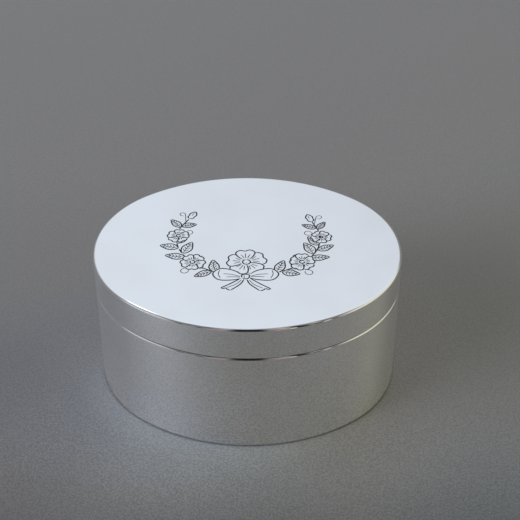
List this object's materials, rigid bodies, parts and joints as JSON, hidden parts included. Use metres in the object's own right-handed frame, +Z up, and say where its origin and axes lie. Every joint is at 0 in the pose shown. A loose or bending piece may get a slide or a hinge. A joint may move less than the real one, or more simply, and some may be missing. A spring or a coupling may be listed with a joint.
{
  "type": "oval trinket box",
  "caption": "Oval trinket box in polished silver plate, with a flat lift-off lid over an inner collar and a padded velvet lining.",
  "frame": {"origin": "centre of the underside, on the surface that the box stands on", "axes": "+X along the oval's long axis to the right, -Y towards the front, +Z up out of the lid"},
  "size_m": [0.08, 0.066, 0.0393],
  "materials": {
    "silver_plate": "mirror-polished silver plate with fine handling marks",
    "velvet": "short-pile midnight blue velvet",
    "card": "grey board, hidden under the velvet",
    "wadding": "white wadding, hidden under the velvet"
  },
  "bodies": {
    "box": {"base_plate": "silver_plate", "body_band": "silver_plate", "collar": "silver_plate", "wall_lining_card": "card", "wall_lining_velvet": "velvet", "floor_card": "card", "floor_wadding": "wadding", "floor_velvet": "velvet"},
    "lid": {"lid_plate": "silver_plate", "lid_band": "silver_plate", "lid_card": "card", "lid_wadding": "wadding", "lid_velvet": "velvet"}
  },
  "joints": [
    {"name": "lid_lift", "type": "slide", "parent": "box", "child": "lid", "axis": [0, 0, 1], "range_m": [0, 0.06]}
  ]
}
